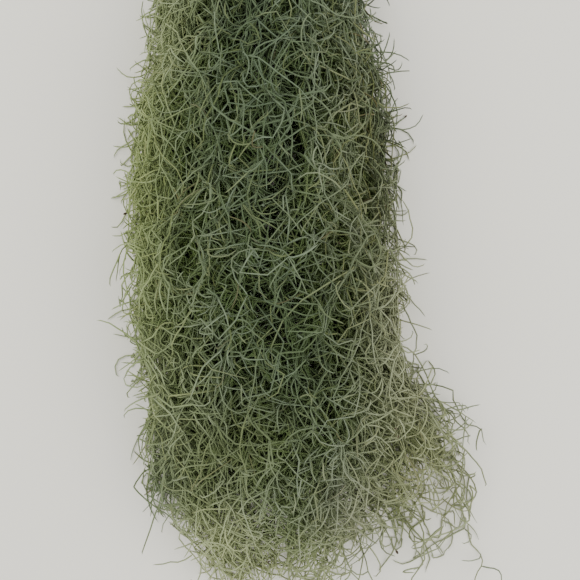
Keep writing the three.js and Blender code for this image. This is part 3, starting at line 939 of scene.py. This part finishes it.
def node_of(tree, kind, inputs=None, **settings):
    node = tree.nodes.new(kind)
    for name, value in settings.items():
        setattr(node, name, value)
    fill(tree, node, inputs or {})
    return node


def new_material(name):
    """A material, its node tree and its shader."""
    material = bpy.data.materials.new(name)
    material.use_nodes = True
    return material, material.node_tree, material.node_tree.nodes["Principled BSDF"]


def place_on_piece(tree):
    return node_of(tree, "ShaderNodeTexCoord").outputs["Object"]


def linear(red, green, blue):
    """A colour given as screen values from 0 to 255."""
    screen = (c / 255 for c in (red, green, blue))
    return tuple(c / 12.92 if c < 11 / 255 else ((c + 0.055) / 1.055) ** 2.4 for c in screen) + (1,)


# %% The scales' node group
def scales_group():
    group = bpy.data.node_groups.new("grey_scales", "ShaderNodeTree")
    for name, kind, way in (
        ("Vector", "NodeSocketVector", "INPUT"),
        ("Scale", "NodeSocketFloat", "INPUT"),
        ("Shade", "NodeSocketFloat", "OUTPUT"),
        ("Height", "NodeSocketFloat", "OUTPUT"),
    ):
        group.interface.new_socket(name=name, in_out=way, socket_type=kind)
    start = node_of(group, "NodeGroupInput").outputs
    fine = {"Vector": start["Vector"], "Scale": start["Scale"], "Detail": 3, "Roughness": 0.65}
    noise = node_of(group, "ShaderNodeTexNoise", fine).outputs["Fac"]
    shade = node_of(group, "ShaderNodeMapRange", {"Value": noise, "From Min": 0.3, "From Max": 0.7})
    fill(group, node_of(group, "NodeGroupOutput"), {"Shade": shade.outputs["Result"], "Height": noise})
    return group


SCALES = scales_group()
print("node group:", SCALES.name)


def scales_on(tree, place, scale):
    """The outputs of the scales' node in a material, with so many scales on a metre."""
    return node_of(tree, "ShaderNodeGroup", {"Vector": place, "Scale": scale}, node_tree=SCALES).outputs


# %% Helpers that mix, fade and multiply sockets or plain values
def mix(tree, factor, first, second, blend="MIX"):
    """A colour mix, whose factor and colours are the inputs 0, 6 and 7."""
    inputs = {0: factor, 6: first, 7: second}
    return node_of(tree, "ShaderNodeMix", inputs, data_type="RGBA", blend_type=blend).outputs[2]


def times(tree, first, second):
    return node_of(tree, "ShaderNodeMath", {0: first, 1: second}, operation="MULTIPLY").outputs["Value"]


def ramp(tree, value, stops):
    """A colour ramp through (position, colour) stops."""
    node = node_of(tree, "ShaderNodeValToRGB", {"Fac": value})
    while len(node.color_ramp.elements) < len(stops):
        node.color_ramp.elements.new(0.5)
    for element, (position, colour) in zip(node.color_ramp.elements, stops):
        element.position = position
        element.color = colour
    return node.outputs["Color"]


def fade(tree, value, low, high):
    """0 where a value is at low and 1 where it is at high."""
    inputs = {"Value": value, "From Min": low, "From Max": high}
    return node_of(tree, "ShaderNodeMapRange", inputs, interpolation_type="SMOOTHSTEP").outputs["Result"]


def zone(tree, place, middle, size):
    """1 in the middle of an upright ellipsoid and 0 outside."""
    for operation, value in (("SUBTRACT", middle), ("DIVIDE", size)):
        step = node_of(tree, "ShaderNodeVectorMath", {0: place, 1: value}, operation=operation)
        place = step.outputs["Vector"]
    far = node_of(tree, "ShaderNodeVectorMath", {0: place}, operation="LENGTH").outputs["Value"]
    return fade(tree, far, 1, 0)


# %% [markdown]
# ## The moss itself
#
# A ramp over each thread's tint gives frosted grey-green, sage, yellow-green and a few dead brown
# threads, and each wisp is lighter or darker as a whole. Painted shade turns deeper threads a darker
# green and the cores darker still. Soft zones over the bunch then make the left yellower and the right
# more olive, paint shade that darkens the upper middle and the middle, and paint light that makes the
# edges and the loose end paler.

# %% The moss material
SAGE = linear(121, 133, 108)
FROSTED = linear(129, 141, 120)
GREEN = linear(111, 125, 95)
YELLOW_GREEN = linear(134, 142, 100)
DEAD = linear(114, 109, 78)
# painted shade: the deeper green of threads that lie below the threads around them
DEEP_SHADE = linear(104, 126, 68)
# painted shade: the dark green of a core, darker than any thread
CORE_SHADE = linear(36, 46, 22)
TINTS = ((0.0, GREEN), (0.3, SAGE), (0.62, FROSTED), (0.8, YELLOW_GREEN), (0.95, SAGE), (0.988, DEAD))
DARK_LOCK = linear(204, 211, 196)
DARK_LOCKS = (0.75, 0.1)  # lock values at which wisps start to be dark, and are darkest
TIP = (0.72, 1.0)  # the part of a thread where its tip dries
DRY_TINTS = (0.55, 0.7)  # tints from which on it does
DRYNESS = 0.25
# how much of that painted shade a thread well below the others gets
DEEP_SHADE_SHARE = 0.8
SCALES_PER_METRE = 1500
SCALE_SHADES = ((0.0, (0.84, 0.85, 0.82, 1)), (1.0, (1, 1, 1, 1)))
ZONE_HEIGHT, ZONE_HALF_HEIGHT = 0.05, 1  # so tall that height hardly matters
TONE_AND_LIGHT_ZONES = (  # x, y, half width and half length of a soft zone, its colour, and how that is put on
    # painted light: the left edge paler, where its side threads would lie in shade
    (-0.13, 0.03, 0.055, 0.3, (180, 192, 138), 0.6, "MIX"),
    # the left yellower
    (-0.11, 0.0, 0.09, 0.4, (250, 253, 222), 1.0, "MULTIPLY"),
    # painted shade: the upper middle and the middle darker
    (-0.03, 0.1, 0.07, 0.22, (214, 222, 210), 1.0, "MULTIPLY"),
    (-0.005, -0.085, 0.075, 0.1, (214, 222, 206), 1.0, "MULTIPLY"),
    # the right more olive, and a paler yellow-green patch at the lower left
    (0.06, 0.01, 0.08, 0.26, (252, 243, 226), 1.0, "MULTIPLY"),
    (-0.05, -0.17, 0.09, 0.07, (150, 158, 110), 0.35, "MIX"),
    # darker at the lower left
    (-0.035, -0.155, 0.06, 0.05, (218, 222, 208), 1.0, "MULTIPLY"),
    # a grey lock's own colour
    (0.04, -0.21, 0.05, 0.07, (150, 150, 128), 0.5, "MIX"),
    # painted light: the loose end and the edges paler, where their threads would lie in shade, in a
    # yellow-green tone
    (0.1, -0.195, 0.085, 0.13, (172, 174, 124), 0.6, "MIX"),
    (-0.01, -0.28, 0.15, 0.1, (180, 186, 132), 0.65, "MIX"),
    (-0.065, -0.235, 0.06, 0.06, (190, 197, 146), 0.6, "MIX"),
    (-0.095, 0.15, 0.05, 0.1, (184, 194, 138), 0.35, "MIX"),
    (-0.1, -0.12, 0.06, 0.11, (168, 178, 128), 0.3, "MIX"),
    (0.07, -0.1, 0.05, 0.1, (166, 170, 134), 0.45, "MIX"),
    (0.085, -0.05, 0.035, 0.14, (170, 172, 134), 0.5, "MIX"),
)


def moss_material():
    material, tree, shader = new_material("moss_threads")
    place = place_on_piece(tree)
    tint, lock, along, deep = (
        node_of(tree, "ShaderNodeAttribute", attribute_name=name).outputs["Fac"]
        for name in ("tint", "lock", "along", "deep")
    )
    colour = mix(tree, fade(tree, lock, *DARK_LOCKS), ramp(tree, tint, TINTS), DARK_LOCK, "MULTIPLY")
    tip = times(tree, fade(tree, along, *TIP), fade(tree, tint, *DRY_TINTS))
    colour = mix(tree, times(tree, tip, DRYNESS), colour, DEAD)
    scales = scales_on(tree, place, SCALES_PER_METRE)
    colour = mix(tree, 1.0, colour, ramp(tree, scales["Shade"], SCALE_SHADES), "MULTIPLY")
    # painted shade: threads below the threads around them turn a deeper green
    colour = mix(tree, times(tree, deep, DEEP_SHADE_SHARE), colour, DEEP_SHADE)
    # soft zones: a yellower left, a more olive right, painted shade and painted light
    for x, y, half_width, half_length, tone, share, blend in TONE_AND_LIGHT_ZONES:
        inside = zone(tree, place, (x, y, ZONE_HEIGHT), (half_width, half_length, ZONE_HALF_HEIGHT))
        colour = mix(tree, times(tree, inside, share), colour, linear(*tone), blend)
    # painted shade: cores turn the darkest green
    colour = mix(tree, fade(tree, deep, 1, CORE_SHADE_DEPTH), colour, CORE_SHADE)
    rough = {"Value": scales["Shade"], "To Min": 0.62, "To Max": 0.86}
    raised = {"Height": scales["Height"], "Strength": 0.35, "Distance": 0.0002}
    fill(tree, shader, {
        "Base Color": colour,
        "Roughness": node_of(tree, "ShaderNodeMapRange", rough).outputs["Result"],
        "Normal": node_of(tree, "ShaderNodeBump", raised).outputs["Normal"],
        "Sheen Weight": 0.04, "Sheen Roughness": 0.5, "Specular IOR Level": 0.2,
    })
    return material


MOSS = moss_material()
print("material:", MOSS.name, "with", len(MOSS.node_tree.nodes), "nodes")

# %% [markdown]
# ## One piece for each tress
#
# A tress is grown together, so its threads and the finer copy of its solid become one mesh, which
# takes the place of the plain solid.

# %% Each tress becomes one piece
CLOSED = 1e-7  # the doubled points at a thread's ends are nearer than this


def tress_piece(node, bundles, draw):
    threads = sweep(bundles)
    describe_threads(threads, bundles)
    copy, is_core, _ = COPIES[node]
    describe_copy(copy, is_core, draw)
    joined = bmesh.new()
    joined.from_mesh(threads)
    bmesh.ops.remove_doubles(joined, verts=joined.verts, dist=CLOSED)
    joined.from_mesh(copy)
    for face in joined.faces:
        face.smooth = True
    mesh = mesh_from("moss_" + node, joined)
    for spent in (threads, copy):
        bpy.data.meshes.remove(spent)
    mesh.materials.append(MOSS)
    return linked("moss_" + node, mesh)


total = 0
for node, bundles in GROWN.items():
    piece = tress_piece(node, bundles, DRAWS[node])
    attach(piece, "root")
    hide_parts(node)
    triangles = sum(len(face.vertices) - 2 for face in piece.data.polygons)
    total += triangles
    stems, leaves, matted = (len(bundle["lines"]) for bundle in bundles)
    print(f"{piece.name}: {stems} stems, {leaves} leaves, {matted} matted threads, {triangles} triangles")
print("triangles in all:", total)

# %% [markdown]
# ## Seed capsules
#
# Here and there a dry seed capsule sits at the tip of an outer leaf: a dark brown spindle 3 mm long.
# Each is a small sphere, drawn out along its leaf, and all are one piece.

# %% Capsules at the tips of some outer leaves
CAPSULE_LENGTH = (0.0024, 0.0038)
CAPSULE_WIDTH = 0.5  # of its length
CAPSULE_RADIUS = 0.95  # least radius in the bunch of a leaf's tip that bears one
CAPSULE_SCALES = 900  # on a metre
CAPSULE_SHADES = ((0.0, linear(44, 32, 22)), (1.0, linear(84, 64, 44)))
CAPSULE_SPOTS = np.array((  # x and y in mm
    (-122, 61), (-135, 6), (-131, -64), (82, -237), (72, -246), (67, -145), (71, -153), (90, 80),
    (-30, 190), (30, -20), (-70, -120), (-20, -250),
)) / 1000


def capsule_material():
    material, tree, shader = new_material("dry_capsules")
    scales = scales_on(tree, place_on_piece(tree), CAPSULE_SCALES)
    fill(tree, shader, {"Base Color": ramp(tree, scales["Shade"], CAPSULE_SHADES), "Roughness": 0.8})
    return material


def capsules(draw):
    """A capsule at the leaf's tip that is nearest to each spot. The leaf runs well into it."""
    lines = np.concatenate([lines for lines, _ in LEAVES.values()])
    tips, ways = lines[:, -1], unit(lines[:, -1] - lines[:, -2])
    outer = radius_in_bunch(tips) > CAPSULE_RADIUS
    tips, ways = tips[outer], ways[outer]
    grown = bmesh.new()
    for spot in CAPSULE_SPOTS:
        nearest = np.argmin(np.linalg.norm(tips[:, :2] - spot, axis=1))
        length = draw.uniform(*CAPSULE_LENGTH)
        made = bmesh.ops.create_uvsphere(grown, u_segments=8, v_segments=6, radius=0.5)["verts"]
        bmesh.ops.scale(grown, verts=made, vec=(CAPSULE_WIDTH * length, CAPSULE_WIDTH * length, length))
        turn = Vector(ways[nearest]).to_track_quat("Z", "Y").to_matrix()
        bmesh.ops.rotate(grown, verts=made, matrix=turn)
        bmesh.ops.translate(grown, verts=made, vec=tips[nearest] - 0.5 * length * ways[nearest])
    for face in grown.faces:
        face.smooth = True
    mesh = mesh_from("seed_capsules", grown)
    mesh.materials.append(capsule_material())
    return linked("seed_capsules", mesh)


piece = capsules(np.random.default_rng(SEED))
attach(piece, "root")
print(piece.name, "faces:", len(piece.data.polygons))

# %% [markdown]
# ## Where it lies, the light and the camera
#
# The bunch lies on a plain pale table. Two large soft lamps, one from the upper left and one from the
# right, and a bright sky light it from all around. The camera looks almost straight down.

# %% The table
def pale_table():
    grid = bmesh.new()
    bmesh.ops.create_grid(grid, x_segments=4, y_segments=4, size=3)
    mesh = mesh_from("table", grid)
    material, tree, shader = new_material("pale_table")
    fill(tree, shader, {"Base Color": linear(246, 242, 228), "Roughness": 0.7})
    mesh.materials.append(material)
    return linked("table", mesh)


table = pale_table()
print("table:", table.dimensions.x, "m wide")


# %% Soft light
def soft_lamp(name, place, size, power, colour):
    lamp = bpy.data.lights.new(name, "AREA")
    lamp.shape = "DISK"
    lamp.size = size
    lamp.energy = power
    lamp.color = colour
    holder = linked(name, lamp)
    holder.location = place
    holder.rotation_euler = (-Vector(place)).to_track_quat("-Z", "Y").to_euler()


soft_lamp("key", place=(-1.0, 0.5, 1.3), size=1.3, power=11.5, colour=(1.0, 0.98, 0.91))
soft_lamp("fill", place=(1.1, -0.3, 1.1), size=1.3, power=10.5, colour=(1.0, 0.99, 0.95))
world = bpy.data.worlds.new("studio")
world.use_nodes = True
sky = world.node_tree.nodes["Background"]
fill(world.node_tree, sky, {"Color": (0.94, 0.96, 1.0, 1), "Strength": 1.2})
bpy.context.scene.world = world

# %% The camera
SEEN = 0.4176  # width of the picture at the bunch's mid-height
LOOKS_AT = Vector((-0.0051, -0.0505, 0.05))
TILT = math.radians(87)
camera = bpy.data.cameras.new("camera")
camera.lens = 60
camera.sensor_width = 36
distance = SEEN / 2 / math.tan(camera.angle_x / 2)
eye = linked("camera", camera)
eye.location = LOOKS_AT + distance * Vector((0, -math.cos(TILT), math.sin(TILT)))
eye.rotation_euler = (LOOKS_AT - eye.location).to_track_quat("-Z", "Y").to_euler()
bpy.context.scene.camera = eye
print("camera distance in mm:", round(1000 * distance))
